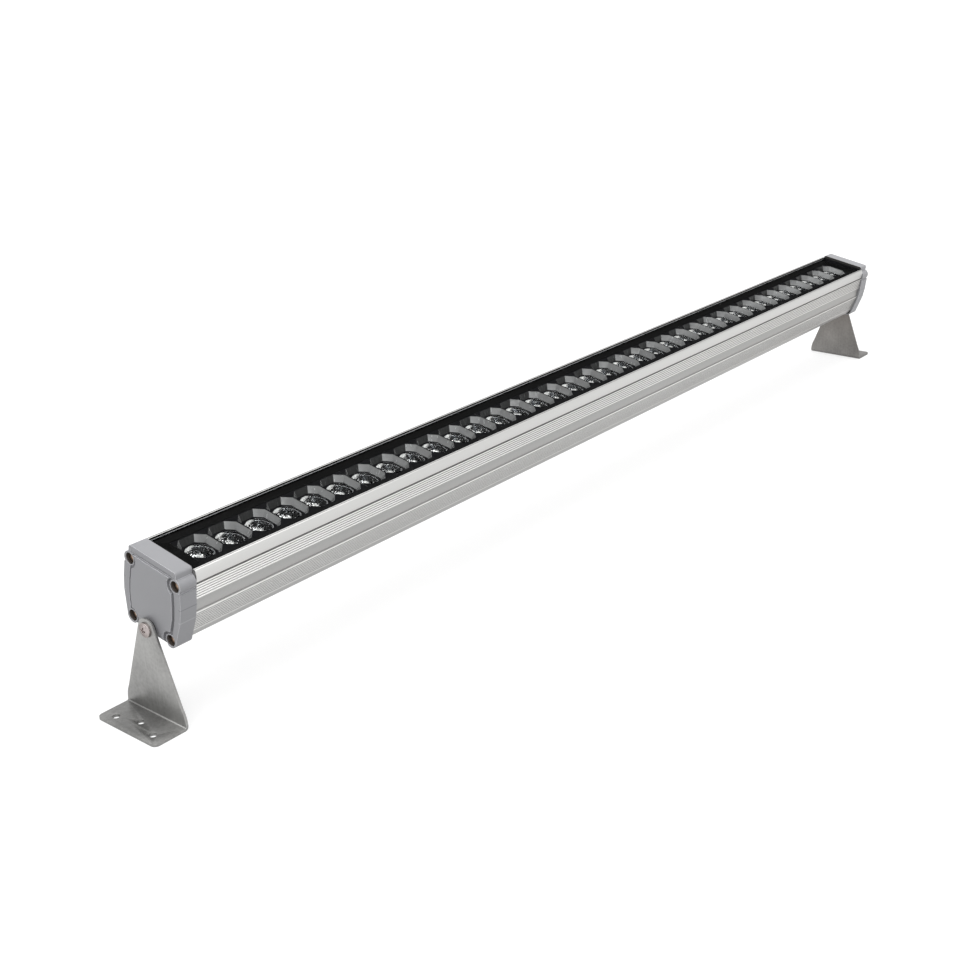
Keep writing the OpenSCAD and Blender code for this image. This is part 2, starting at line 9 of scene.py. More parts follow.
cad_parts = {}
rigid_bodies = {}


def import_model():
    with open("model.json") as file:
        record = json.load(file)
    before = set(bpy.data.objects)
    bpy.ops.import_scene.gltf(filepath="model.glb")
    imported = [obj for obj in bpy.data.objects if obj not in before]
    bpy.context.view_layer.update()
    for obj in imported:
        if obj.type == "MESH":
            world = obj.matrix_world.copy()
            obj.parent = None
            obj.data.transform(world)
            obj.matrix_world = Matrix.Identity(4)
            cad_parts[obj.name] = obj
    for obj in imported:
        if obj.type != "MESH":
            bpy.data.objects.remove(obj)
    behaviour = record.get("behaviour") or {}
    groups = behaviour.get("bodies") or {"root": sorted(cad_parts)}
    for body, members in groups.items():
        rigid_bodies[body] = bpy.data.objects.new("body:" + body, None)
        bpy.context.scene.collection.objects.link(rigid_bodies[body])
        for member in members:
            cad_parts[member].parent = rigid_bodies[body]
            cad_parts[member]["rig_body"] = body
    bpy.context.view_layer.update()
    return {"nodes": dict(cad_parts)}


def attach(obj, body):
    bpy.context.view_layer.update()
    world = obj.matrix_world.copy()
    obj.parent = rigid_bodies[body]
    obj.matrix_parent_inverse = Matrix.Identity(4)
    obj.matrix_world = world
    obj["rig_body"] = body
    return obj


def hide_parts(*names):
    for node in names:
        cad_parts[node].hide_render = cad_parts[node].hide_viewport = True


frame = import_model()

MM = 0.001
NODES = frame["nodes"]

# The lamp, as in the part: its pivot axis and its lean
PIVOT_Z = 65.4 * MM
LEAN = math.radians(10.3)
LAMP_TURN = (-LEAN, 0, 0)
LAMP_SIDE = (0, math.cos(LEAN), math.sin(LEAN))
LAMP_UP = (0, -math.sin(LEAN), math.cos(LEAN))

# Row of cells, and the lens and mirror cup in each
CELLS = 36
BOARDS = range(1, 7)
CELL_PITCH = 26.3 * MM
ROW_START = -460.25 * MM
BOARD_TOP = 29.4 * MM
LENS_H = 12.2 * MM
LENS_R = 10 * MM
LENS_RISE = 2.6 * MM
LENS_FOOT_R = 4.6 * MM
CUP_LOW_R = 3.1 * MM
CUP_TOP_R = 8.9 * MM
CUP_LIFT = 0.9 * MM
CUP_WALL = 0.15 * MM

# End caps: outer and inner face, and the four screw holes
CAP_FACE = 500 * MM
CAP_INNER = 486.5 * MM
PORT_UP = (22.4 * MM, 42.1 * MM)
PORT_LOW = (19.2 * MM, -0.8 * MM)
PORT_R = 4.25 * MM

# Rims of the housing: half width of the glass pocket, the line of painted shade on the rim, and heights
POCKET = 23.2 * MM
RIM_LINE = 24.3 * MM
TRAY_EDGE = 38 * MM
RIM_FOOT = 41 * MM
RIM_INSIDE = 45 * MM

# Wells in the trays: how far a sloped wall's normal rises, and how far it turns to the row, which picks
# its painted lit or shaded copy
WELL_SLOPE = (0.12, 0.8)
WELL_END = 0.3

# Mending of the CAD triangles before they are rounded
MERGE = 0.002 * MM
FLAT_DEGREES = 0.6


# Meshes

def link(name, mesh):
    piece = bpy.data.objects.new(name, mesh)
    bpy.context.scene.collection.objects.link(piece)
    return piece


def flattened(piece, name):
    """The evaluated shape of a piece as a plain new object; the old one goes."""
    graph = bpy.context.evaluated_depsgraph_get()
    mesh = bpy.data.meshes.new_from_object(piece.evaluated_get(graph))
    mesh.name = name
    bpy.data.objects.remove(piece)
    return link(name, mesh)


def mesh_of(work, name):
    """The work mesh written out under a name."""
    mesh = bpy.data.meshes.new(name)
    work.to_mesh(mesh)
    work.free()
    return mesh


def smooth(mesh, degrees):
    mesh.shade_smooth()
    mesh.set_sharp_from_angle(angle=math.radians(degrees))


def rounded_copy(node, name, width, look, degrees=40, crease=32, edge=None):
    """A copy of a CAD node with its doubles merged and its sharp edges rounded."""
    work = bmesh.new()
    work.from_mesh(NODES[node].data)
    bmesh.ops.remove_doubles(work, verts=work.verts, dist=MERGE)
    bmesh.ops.dissolve_limit(work, angle_limit=math.radians(FLAT_DEGREES), verts=work.verts,
                             edges=work.edges, delimit={"NORMAL"})
    mesh = mesh_of(work, name)
    mesh.materials.clear()
    mesh.materials.append(look)
    piece = link(name, mesh)
    bevel = piece.modifiers.new("rounding", "BEVEL")
    bevel.width = width
    bevel.segments = 2
    bevel.limit_method = "ANGLE"
    bevel.angle_limit = math.radians(degrees)
    # The rounded faces take the second look; on the caps it is a painted highlight
    if edge:
        mesh.materials.append(edge)
        bevel.material = 1
    piece = flattened(piece, name)
    smooth(piece.data, crease)
    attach(piece, NODES[node]["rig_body"])
    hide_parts(node)
    return piece


def revolved(name, profile, steps):
    """A mesh turned from points (radius, height) about Z."""
    work = bmesh.new()
    rings = []
    for r, z in profile:
        if r == 0:
            rings.append([work.verts.new((0, 0, z))])
        else:
            rings.append([work.verts.new((r * math.cos(a), r * math.sin(a), z))
                          for a in (2 * math.pi * k / steps for k in range(steps))])
    for low, high in zip(rings, rings[1:]):
        for k in range(steps):
            n = (k + 1) % steps
            ring = [low[k % len(low)], low[n % len(low)], high[n % len(high)], high[k % len(high)]]
            ring = list(dict.fromkeys(ring))
            if len(ring) > 2:
                work.faces.new(ring)
    bmesh.ops.recalc_face_normals(work, faces=work.faces)
    return mesh_of(work, name)


# Shader maths

class Wire:
    """A shader socket that takes part in plain arithmetic."""

    def __init__(self, finish, out):
        self.finish = finish
        self.out = out

    def _math(self, operation, *values, clamp=False):
        settings = {"operation": operation, "use_clamp": clamp}
        return self.finish.node("ShaderNodeMath", settings, dict(enumerate(values)))[0]

    def __add__(self, other):
        return self._math("ADD", self, other)

    def __radd__(self, other):
        return self._math("ADD", other, self)

    def __sub__(self, other):
        return self._math("SUBTRACT", self, other)

    def __rsub__(self, other):
        return self._math("SUBTRACT", other, self)

    def __mul__(self, other):
        return self._math("MULTIPLY", self, other)

    def __rmul__(self, other):
        return self._math("MULTIPLY", other, self)

    def __truediv__(self, other):
        return self._math("DIVIDE", self, other)

    def __pow__(self, other):
        return self._math("POWER", self, other)

    def clamp(self):
        return self._math("ADD", self, 0.0, clamp=True)

    def absolute(self):
        return self._math("ABSOLUTE", self)

    def fraction(self):
        return self._math("FRACT", self)

    def below(self, limit):
        return self._math("LESS_THAN", self, limit)

    def above(self, limit):
        return self._math("GREATER_THAN", self, limit)

    def near(self, middle, reach):
        """1 where the value lies within reach of the middle."""
        return self._math("COMPARE", self, middle, reach)

    def fade(self, start, end, low=0.0, high=1.0, kind="LINEAR"):
        """Goes from low to high while the value goes from start to end, and stays there."""
        return self.finish.node("ShaderNodeMapRange", {"interpolation_type": kind},
                                {0: self, 1: start, 2: end, 3: low, 4: high})[0]

    def axes(self):
        return self.finish.node("ShaderNodeSeparateXYZ", {}, {0: self})

    def vector(self, operation, *values):
        return self.finish.node("ShaderNodeVectorMath", {"operation": operation},
                                dict(enumerate((self, *values))))

    def dot(self, direction):
        return self.vector("DOT_PRODUCT", direction)[1]


def fill(tree, socket, value):
    """Puts a wire, a colour or a plain value into a socket."""
    if isinstance(value, Wire):
        tree.links.new(value.out, socket)
    elif isinstance(value, tuple) and len(value) == 3 and socket.type == "RGBA":
        socket.default_value = (*value, 1)
    else:
        socket.default_value = value


class Finish:
    """One material: it makes nodes and links them to the Principled shader."""

    def __init__(self, name, **fixed):
        self.material = bpy.data.materials.new(name)
        self.material.use_nodes = True
        self.tree = self.material.node_tree
        self.tree.nodes.clear()
        self.output = self.tree.nodes.new("ShaderNodeOutputMaterial")
        self.main = self.tree.nodes.new("ShaderNodeBsdfPrincipled")
        self.show(Wire(self, self.main.outputs[0]))
        for key, value in fixed.items():
            self.put(key.replace("_", " "), value)

    def show(self, shader):
        self.tree.links.new(shader.out, self.output.inputs[0])

    def put(self, key, value):
        fill(self.tree, self.main.inputs[key], value)

    def node(self, kind, settings=None, inputs=None):
        made = self.tree.nodes.new(kind)
        for key, value in (settings or {}).items():
            if key == "stops":
                elements = made.color_ramp.elements
                while len(elements) < len(value):
                    elements.new(0.5)
                for element, (place, shade) in zip(elements, value):
                    element.position = place
                    element.color = (*shade, 1) if isinstance(shade, tuple) else (shade,) * 3 + (1,)
            else:
                setattr(made, key, value)
        for key, value in (inputs or {}).items():
            fill(self.tree, made.inputs[key], value)
        return [Wire(self, out) for out in made.outputs]

    def place(self, scale=(1, 1, 1), turn=(0, 0, 0)):
        """Object coordinates, turned and scaled."""
        here = self.node("ShaderNodeTexCoord")[3]
        return self.node("ShaderNodeMapping", {}, {0: here, 2: turn, 3: scale})[0]

    def noise(self, scale, where=None, detail=2.0, rough=0.5):
        inputs = {"Vector": where or self.place(), "Scale": scale, "Detail": detail, "Roughness": rough}
        return self.node("ShaderNodeTexNoise", {}, inputs)[0]

    def between(self, factor, low, high):
        """Colour between two colours."""
        return self.node("ShaderNodeMix", {"data_type": "RGBA"}, {0: factor, 6: low, 7: high})[2]

    def tinted(self, base, tint, factor=1.0):
        """A colour multiplied by another one, as far as the factor says."""
        settings = {"data_type": "RGBA", "blend_type": "MULTIPLY"}
        return self.node("ShaderNodeMix", settings, {0: factor, 6: base, 7: tint})[2]

    def ramp(self, factor, *stops):
        return self.node("ShaderNodeValToRGB", {"stops": stops}, {0: factor})[0]

    def bump(self, height, strength, distance):
        inputs = {"Height": height, "Strength": strength, "Distance": distance}
        return self.node("ShaderNodeBump", {}, inputs)[0]

    def slant(self):
        """0 where a surface is seen straight on, 1 at a grazing view."""
        return self.node("ShaderNodeLayerWeight", {}, {0: 0.5})[1]

    def clear(self, tint):
        return self.node("ShaderNodeBsdfTransparent", {}, {0: tint})[0]

    def gloss(self, rough):
        return self.node("ShaderNodeBsdfGlossy", {}, {"Color": (1, 1, 1), "Roughness": rough})[0]

    def blend(self, share, first, second):
        return self.node("ShaderNodeMixShader", {}, {0: share, 1: first, 2: second})[0]


def lamp_place(m):
    """Place along the lamp, and sideways distance and height in its own upright section."""
    here = m.node("ShaderNodeTexCoord")[3]
    stood = here.vector("SUBTRACT", (0, 0, PIVOT_Z))[0]
    return here.axes()[0], stood.dot(LAMP_SIDE), stood.dot(LAMP_UP)


# Finishes of the housing and the caps

# Outer half width of the section at rising heights, in mm, below which the surface gets painted shade:
# strip, comb, flat band, ribs, then the rims, which have no gaps and are given the width of the core
CORE = 15
SECTION = ((-4, CORE), (2.1, CORE), (2.3, 23.4), (18.0, 26.7), (18.4, 26.0), (28.3, 26.0), (28.6, 27.1),
           (41.1, 26.8), (41.45, CORE), (51, CORE))
# Brightness of the drawn metal at rising heights, painted light and shade: bottom strip, comb, a painted
# highlight on the ridge, the flat band in painted shade, ribs, rim
BAND_LIGHT_AND_SHADE = ((-4, 0.48), (2.0, 0.50), (2.4, 0.70), (17.9, 0.74), (18.3, 1.0), (18.8, 1.0), (19.2, 0.49),
         (28.1, 0.49), (28.5, 0.97), (40.5, 0.97), (41.4, 0.75), (51, 0.78))
SECTION_LOW = SECTION[0][0]
SECTION_TOP = SECTION[-1][0]
# Bands of the section, as middle and half height: the ribs, the painted shade under the rim and the
# painted highlight along the glass lip
RIBS = (34.8 * MM, 6.4 * MM)
RIM_SHADE = (41.3 * MM, 0.4 * MM)
GLASS_LIP = (48.35 * MM, 0.35 * MM)


def up_the_section(height):
    return (height - SECTION_LOW) / (SECTION_TOP - SECTION_LOW)


def anodised_aluminium():
    """Drawn metal: soft lines along its length, with painted shade in the gaps between the ribs, on the
    rim and down in the glass pocket, painted light and shade band by band, darker towards the far end,
    and a painted highlight along the glass lip.
    """
    m = Finish("anodised_aluminium", Metallic=0.85)
    lines = m.noise(1.0, m.place(scale=(3, 700, 700), turn=LAMP_TURN))
    cloud = m.noise(9.0, m.place(scale=(1, 3, 3)))
    grain = m.noise(5200.0)
    x, side, height = lamp_place(m)
    away = side.absolute()
    level = height.fade(SECTION_LOW * MM, SECTION_TOP * MM)
    metal = m.between((lines * 0.4 + cloud * 0.6).clamp(), (0.73, 0.728, 0.715), (0.79, 0.788, 0.775))
    # Painted light and shade: each band of the section is made lighter or darker by its height
    metal = m.tinted(metal, m.ramp(level, *[(up_the_section(z), tone) for z, tone in BAND_LIGHT_AND_SHADE]))
    # Painted shade: the metal below the rim grows darker and warmer towards the far end
    far_flank_shade = x.fade(0.05, 0.5) * height.below(RIM_FOOT)
    metal = m.tinted(metal, (0.94, 0.93, 0.92), far_flank_shade)
    # Painted shade in the gaps, where the surface lies below the outer width of the section
    widths = [(up_the_section(z), (y - CORE) / CORE) for z, y in SECTION]
    outer = m.ramp(level, *widths) * (CORE * MM) + CORE * MM
    gap_shade = (outer - away).fade(0.04 * MM, 0.36 * MM, kind="SMOOTHSTEP") * height.above(2.3 * MM)
    inside = height.above(RIM_INSIDE)
    # Painted shade: a dark line along the top of the rim, and a dark band under the rim's outer edge
    line = away.near(RIM_LINE, 0.35 * MM) * 0.55
    under = height.near(*RIM_SHADE) * away.above(25 * MM)
    dark = (gap_shade * (0.8 - height.near(*RIBS) * 0.3) + line * inside + under * 0.8).clamp()
    metal = m.between(dark, metal, (0.045, 0.045, 0.042))
    # Painted shade: the metal inside the glass pocket near black, with a painted highlight line along
    # the glass lip
    seat = away.below(POCKET + 0.06 * MM) * inside
    pocket_shade_and_lip_highlight = m.between(height.near(*GLASS_LIP), (0.008, 0.008, 0.008), (0.75, 0.75, 0.76))
    m.put("Base Color", m.between(seat, metal, pocket_shade_and_lip_highlight))
    m.put("Roughness", (0.34 + lines * 0.08 + grain * 0.08).clamp())
    m.put("Normal", m.bump(lines + grain * 0.5, 0.08, 0.02 * MM))
    return m.material


def cap_coat(name, pale):
    """Grey powder coat with a fine speckle; painted dark shade down in the screw holes, in the panel
    groove, in the creases of the flanks and on the inner face above the glass, and a painted highlight
    along the ledge.
    """
    m = Finish(name, Specular_IOR_Level=0.5)
    speck = m.noise(3800.0, detail=1.0)
    cloud = m.noise(26.0, detail=3.0)
    low = tuple(c * pale for c in (0.245, 0.246, 0.258))
    high = tuple(c * pale for c in (0.298, 0.300, 0.314))
    coat = m.between((cloud * 0.6 + speck * 0.4).clamp(), low, high)
    x, side, height = lamp_place(m)
    wide = side.absolute()
    out = x.absolute()
    flat = m.node("ShaderNodeCombineXYZ", {}, {0: wide, 1: height})[0]
    # Painted shade down in the four screw holes, growing with depth below the face
    holes = 0.0
    for y, z in (PORT_UP, PORT_LOW):
        holes = flat.vector("DISTANCE", (y, z, 0))[1].below(PORT_R) + holes
    deep = out.fade(CAP_FACE - 0.1 * MM, CAP_FACE - 1.4 * MM)
    # Painted shade in the groove round the face panel and along the creases of the flanks
    panel = height.near(21 * MM, 25.5 * MM) * wide.near(0.0, 24 * MM)
    groove_shade = out.near(CAP_FACE - 0.55 * MM, 0.35 * MM) * panel
    flank = wide.above(26.4 * MM)
    crease = (height.near(38 * MM, 0.35 * MM) + height.near(26.5 * MM, 0.3 * MM)) * flank
    # Painted highlight: a pale line along the ledge of the flanks
    ledge_highlight = height.near(16.5 * MM, 0.4 * MM) * flank
    coat = m.between((groove_shade * 0.6 + crease * 0.42).clamp(), coat, (0.07, 0.07, 0.075))
    coat = m.between(ledge_highlight * 0.35, coat, (0.50, 0.50, 0.52))
    # Painted shade on the cap's inner face above the glass
    inner_face_shade = out.below(CAP_INNER + 0.1 * MM) * height.above(RIM_INSIDE)
    m.put("Base Color", m.between((holes * deep + inner_face_shade).clamp(), coat, (0.03, 0.028, 0.026)))
    m.put("Roughness", (0.34 + speck * 0.14).clamp())
    m.put("Normal", m.bump(speck + cloud * 0.2, 0.25, 0.03 * MM))
    return m.material


# Finishes under and over the glass

def well_satin(name, shine, base):
    """Moulded well walls with a satin shine and fine marks down their slope."""
    m = Finish(name, Specular_IOR_Level=shine)
    marks = m.noise(1.0, m.place(scale=(500, 500, 60), turn=LAMP_TURN))
    m.put("Base Color", m.between(marks, (base,) * 3, (base + 0.02,) * 3))
    m.put("Roughness", (0.14 + marks * 0.2).clamp())
    return m.material


def front_glass():
    """Thin clear glass: straight through, with a gloss at a grazing view alone."""
    m = Finish("front_glass")
    m.tree.nodes.remove(m.main)
    marks = m.noise(60.0)
    share = (m.slant().fade(0.78, 1.0) * 0.12 * (0.92 + marks * 0.16)).clamp()
    m.show(m.blend(share, m.clear((0.985, 0.99, 0.99)), m.gloss(0.02)))
    return m.material


def clear_lens():
    """Moulded clear lens: gloss at a slant, painted glints where the gloss share is raised in spots in a
    ring, at random and along the rim, and painted highlights as white crescents at its edge.
    """
    m = Finish("clear_acrylic")
    m.tree.nodes.remove(m.main)
    x, side = lamp_place(m)[:2]
    along = (((x - ROW_START) / CELL_PITCH + 0.5).fraction() - 0.5) * CELL_PITCH
    flat = m.node("ShaderNodeCombineXYZ", {}, {0: along, 1: side})[0]
    away = flat.vector("LENGTH")[1]
    lit = flat.dot((-0.92, 0.39, 0)) / away
    left = flat.dot((-0.42, 0.91, 0)) / away
    low = flat.dot((-0.65, -0.76, 0)) / away
    cast = m.noise(950.0, detail=1.0)
    spots = cast.fade(0.55, 0.59)
    glints = cast.fade(0.69, 0.73)
    ring = (away + x.fade(-0.2, 0.4, high=2.6 * MM)).fade(5.0 * MM, 7.2 * MM)
    # Painted highlights: white crescents at the lens edge, towards the left and towards the bottom
    crescents = left.fade(0.80, 0.94) * 0.85 + low.fade(0.93, 0.985) * 0.9
    crescents = (crescents * ring * (0.45 + spots * 0.55)).clamp()
    rim = away.near(9.8 * MM, 0.25 * MM) * 0.5
    # Painted glints: more gloss in spots in a ring towards the lit side, in scattered spots and along
    # the rim
    sparks = (spots * ring * lit.fade(0.0, 0.4) * 0.8 + glints + rim).clamp()
    share = (0.014 + (m.slant() ** 5.0) * 0.25 + sparks * 0.9).clamp()
    skin = m.blend(share, m.clear((0.96, 0.97, 0.98)), m.gloss(0.06))
    white = m.node("ShaderNodeBsdfDiffuse", {}, {"Color": (0.95, 0.95, 0.93)})[0]
    m.show(m.blend(crescents, skin, white))
    return m.material


def mirror_facets():
    """Mirror flats seen through the lens: painted reflections, mostly dark, bright in small spots low in
    the cup.
    """
    m = Finish("lens_facets", Metallic=1.0)
    spots = m.noise(1100.0, detail=1.0)
    rise = lamp_place(m)[2].fade(BOARD_TOP + 2 * MM, BOARD_TOP + LENS_H - 1.5 * MM)
    # Painted reflections: the mirror's colour is near black with bright spots, a little lighter low in
    # the cup
    m.put("Base Color", m.ramp((spots * 0.86 + (1 - rise) * 0.10).clamp(), (0.48, (0.008, 0.009, 0.010)),
                               (0.60, (0.12, 0.125, 0.13)), (0.72, (0.92, 0.92, 0.90))))
    m.put("Roughness", (0.05 + spots * 0.10).clamp())
    return m.material


def gasket_grey():
    """Grey silicone, in black painted shade where it shows beside the trays under the glass."""
    m = Finish("gasket_silicone", Specular_IOR_Level=0.2)
    fine = m.noise(2400.0)
    side, height = lamp_place(m)[1:]
    # Painted shade under the glass beside the trays
    inside = side.near(0.0, POCKET) * height.above(TRAY_EDGE)
    grey = m.between(fine, (0.10, 0.10, 0.102), (0.15, 0.15, 0.152))
    m.put("Base Color", m.between(inside, grey, (0.006, 0.006, 0.007)))
    m.put("Roughness", (0.6 + fine * 0.14).clamp())
    return m.material


# Finishes of the brackets, the screws and the small parts

def brushed_sheet():
    """Brushed sheet with a faint spangle; painted shade on the foot, painted light near the top, and the
    far bracket a little darker in painted shade.
    """
    m = Finish("brushed_sheet", Metallic=1.0)
    brush = m.noise(1.0, m.place(scale=(500, 2600, 38)), 3.0, 0.6)
    cloud = m.noise(24.0, m.place(scale=(1, 1, 0.7)), 3.0, 0.55)
    here = m.place()
    spangle = m.node("ShaderNodeTexVoronoi", {}, {"Scale": 420.0, "Vector": here})[0]
    x, _, z = here.axes()
    # Painted shade on the foot and painted light near the top of the upright
    foot = z.fade(0.004, 0.001)
    top = z.fade(0.03, 0.07)
    tone = (cloud * 0.62 + brush * 0.28 + spangle * 0.10 - foot * 0.10 + top * 0.12).clamp()
    bare = m.ramp(tone, (0.32, (0.18, 0.179, 0.175)), (0.68, (0.37, 0.368, 0.36)))
    # Painted shade: the far bracket darker and browner, most up near the housing
    far_bracket_shade = x.fade(-0.3, 0.3) * z.fade(0.002, 0.06, low=0.45)
    m.put("Base Color", m.tinted(bare, (0.55, 0.51, 0.48), far_bracket_shade))
    m.put("Roughness", (0.30 + brush * 0.16 + cloud * 0.10).clamp())
    m.put("Normal", m.bump(brush, 0.16, 0.02 * MM))
    return m.material


def screw_metal(name, low, high, rough, slant_shade=None):
    """Turned and plated metal; slant_shade is a painted shade colour where a face turns away from view.
    """
    m = Finish(name, Metallic=1.0)
    worn = m.noise(900.0, detail=3.0)
    turned = m.noise(3000.0)
    base = m.between(worn, low, high)
    # Painted shade: the colour darkens where the face turns away from view
    if slant_shade:
        base = m.between((m.slant() * 1.3).clamp() ** 2.0, base, slant_shade)
    m.put("Base Color", base)
    m.put("Roughness", (rough + turned * 0.12).clamp())
    m.put("Normal", m.bump(turned, 0.12, 0.015 * MM))
    return m.material


def fine_grained(name, low, high, rough, vary, grain, detail=2.0, relief=0.0, **fixed):
    """Plain stuff whose colour and gloss vary with a fine grain, in relief where it is given."""
    m = Finish(name, **fixed)
    fine = m.noise(grain, detail=detail)
    m.put("Base Color", m.between(fine, low, high))
    m.put("Roughness", (rough + fine * vary).clamp())
    if relief:
        m.put("Normal", m.bump(fine, relief, 0.03 * MM))
    return m.material


def moulded(name, low, high, rough):
    """Moulded nylon, rubber or potting compound."""
    return fine_grained(name, low, high, rough, 0.14, 2400.0, relief=0.2, Specular_IOR_Level=0.4)


ALUMINIUM = anodised_aluminium()
CAP_COAT = cap_coat("grey_powder_coat", 1.0)
# Painted highlight: the same coat twice as pale, for the rounded edges of the caps
CAP_EDGE_HIGHLIGHT = cap_coat("grey_powder_edge_highlight", 2.0)
TRAY = fine_grained("black_tray_plastic", (0.006, 0.006, 0.0065), (0.013, 0.013, 0.014), 0.6, 0.16,
                    4200.0, detail=1.0, Specular_IOR_Level=0.0)
# Lit and shaded copies of one moulded plastic: painted light on the walls across the row, painted shade
# on the side walls
WELL_LIT = well_satin("black_well_satin_lit", 1.0, 0.08)
WELL_SHADED = well_satin("black_well_dull_shaded", 0.16, 0.01)
SEAL = fine_grained("seal_silicone", (0.007, 0.007, 0.007), (0.014, 0.014, 0.014), 0.62, 0.15,
                    2600.0, relief=0.2, Specular_IOR_Level=0.0)
GLASS = front_glass()
ACRYLIC = clear_lens()
FACETS = mirror_facets()
PHOSPHOR = fine_grained("lamp_phosphor", (0.78, 0.62, 0.16), (0.90, 0.78, 0.30), 0.35, 0.1,
                        2500.0, Coat_Weight=0.6, Coat_Roughness=0.05)
BOARD = fine_grained("white_board", (0.74, 0.74, 0.72), (0.84, 0.84, 0.82), 0.36, 0.1,
                     1500.0, Coat_Weight=0.2)
SHEET = brushed_sheet()
BRONZED = screw_metal("bronzed_steel", (0.34, 0.22, 0.15), (0.70, 0.50, 0.36), 0.25)
BRIGHT = screw_metal("bright_steel", (0.34, 0.30, 0.29), (0.54, 0.49, 0.48), 0.18, (0.10, 0.07, 0.06))
ZINC = screw_metal("zinc_steel", (0.55, 0.56, 0.57), (0.70, 0.71, 0.72), 0.3)
BRASS = screw_metal("insert_brass", (0.60, 0.42, 0.17), (0.74, 0.55, 0.26), 0.28)
NYLON = moulded("black_nylon", (0.018, 0.018, 0.018), (0.032, 0.032, 0.032), 0.42)
RUBBER = moulded("gland_rubber", (0.010, 0.010, 0.010), (0.018, 0.018, 0.018), 0.65)
GASKET = gasket_grey()
POTTING = moulded("driver_potting", (0.045, 0.045, 0.05), (0.07, 0.07, 0.078), 0.5)


# CAD solids that stay, with a better finish

def dress(look, *names):
    for name in names:
        mesh = NODES[name].data
        mesh.materials.clear()
        mesh.materials.append(look)


dress(SEAL, "glass_seal")
dress(GLASS, "glass_cover")
dress(BOARD, *[f"lamp_board_{i}" for i in BOARDS])
dress(PHOSPHOR, *[f"led_set_{i}" for i in BOARDS])
dress(ZINC, "board_screws")
dress(POTTING, "led_driver")
dress(GASKET, "cap_gasket_near", "cap_gasket_far")
dress(BRASS, "pivot_insert_near", "pivot_insert_far")
dress(NYLON, "gland_locknut")


# Rounded copies of the CAD solids

rounded_copy("housing", "ribbed_housing", 0.12 * MM, ALUMINIUM)
for end in ("near", "far"):
    rounded_copy(f"end_cap_{end}", f"cap_{end}", 0.5 * MM, CAP_COAT,
                 degrees=25, crease=5, edge=CAP_EDGE_HIGHLIGHT)
    rounded_copy(f"bracket_{end}", f"sheet_bracket_{end}", 0.22 * MM, SHEET)
    rounded_copy(f"pivot_spacer_{end}", f"spacer_{end}", 0.2 * MM, NYLON)
    rounded_copy(f"pivot_screw_{end}", f"pivot_bolt_{end}", 0.22 * MM, BRIGHT)
    rounded_copy(f"cap_screws_{end}", f"cap_screw_set_{end}", 0.15 * MM, BRONZED)
for i in BOARDS:
    tray = rounded_copy(f"lens_tray_{i}", f"tray_{i}", 0.12 * MM, TRAY,
                        degrees=12, crease=20)
    tray.data.materials.append(WELL_LIT)
    tray.data.materials.append(WELL_SHADED)
    # Sloped walls across the row take the lit copy and side walls the shaded copy: painted light and
    # shade
    for face in tray.data.polygons:
        if WELL_SLOPE[0] < face.normal.dot(Vector(LAMP_UP)) < WELL_SLOPE[1]:
            face.material_index = 1 if abs(face.normal.x) > WELL_END else 2
rounded_copy("gland_body", "gland_hex", 0.3 * MM, NYLON)
rounded_copy("gland_cap_nut", "gland_nut", 0.4 * MM, NYLON)
rounded_copy("gland_seal", "gland_ring", 0.2 * MM, RUBBER)


# Geometry Nodes

class Rule:
    """A node tree that makes a shape, with named inputs for its sizes."""

    def __init__(self, name):
        self.tree = bpy.data.node_groups.new(name, "GeometryNodeTree")
        self.tree.interface.new_socket("Geometry", in_out="OUTPUT", socket_type="NodeSocketGeometry")
        self.entry = self.tree.nodes.new("NodeGroupInput")
        self.exit = self.tree.nodes.new("NodeGroupOutput")
        self.ids = {}

    def size(self, name, kind="NodeSocketFloat"):
        socket = self.tree.interface.new_socket(name, in_out="INPUT", socket_type=kind)
        self.ids[name] = socket.identifier
        return self.entry.outputs[name]

    def node(self, kind, **inputs):
        made = self.tree.nodes.new(kind)
        for key, value in inputs.items():
            self.tree.links.new(value, made.inputs[key.replace("_", " ")])
        return made.outputs

    def make(self, name, **values):
        """The finished mesh object; values go in by the sockets' identifiers."""
        host = link(name + "_host", bpy.data.meshes.new(name))
        modifier = host.modifiers.new("rule", "NODES")
        modifier.node_group = self.tree
        for key, value in values.items():
            modifier[self.ids[key]] = value
        return flattened(host, name)


def row_rule():
    """Copies one piece along the row of cells and stands the row in the lamp."""
    rule = Rule("row_of_cells")
    count = rule.size("Count", "NodeSocketInt")
    pitch = rule.size("Pitch")
    start = rule.size("Start", "NodeSocketVector")
    piece = rule.size("Piece", "NodeSocketObject")
    look = rule.size("Look", "NodeSocketMaterial")
    pivot = rule.size("Pivot", "NodeSocketVector")
    lean = rule.size("Lean", "NodeSocketVector")
    step = rule.node("ShaderNodeCombineXYZ", X=pitch)[0]
    line = rule.node("GeometryNodeMeshLine", Count=count, Start_Location=start, Offset=step)[0]
    single = rule.node("GeometryNodeObjectInfo", Object=piece)["Geometry"]
    copies = rule.node("GeometryNodeInstanceOnPoints", Points=line, Instance=single)[0]
    real = rule.node("GeometryNodeRealizeInstances", Geometry=copies)[0]
    stood = rule.node("GeometryNodeTransform", Geometry=real, Translation=pivot, Rotation=lean)[0]
    done = rule.node("GeometryNodeSetMaterial", Geometry=stood, Material=look)[0]
    rule.tree.links.new(done, rule.exit.inputs[0])
    return rule


ROW = row_rule()


def cell_row(name, mesh, look, degrees):
    """One piece in every cell, stood on the boards."""
    single = link(name + "_one", mesh)
    smooth(mesh, degrees)
    piece = ROW.make(name, Count=CELLS, Pitch=CELL_PITCH, Start=(ROW_START, 0, BOARD_TOP), Piece=single,
                     Look=look, Pivot=(0, 0, PIVOT_Z), Lean=(LEAN, 0, 0))
    bpy.data.objects.remove(single)
    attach(piece, "lamp")
    return piece


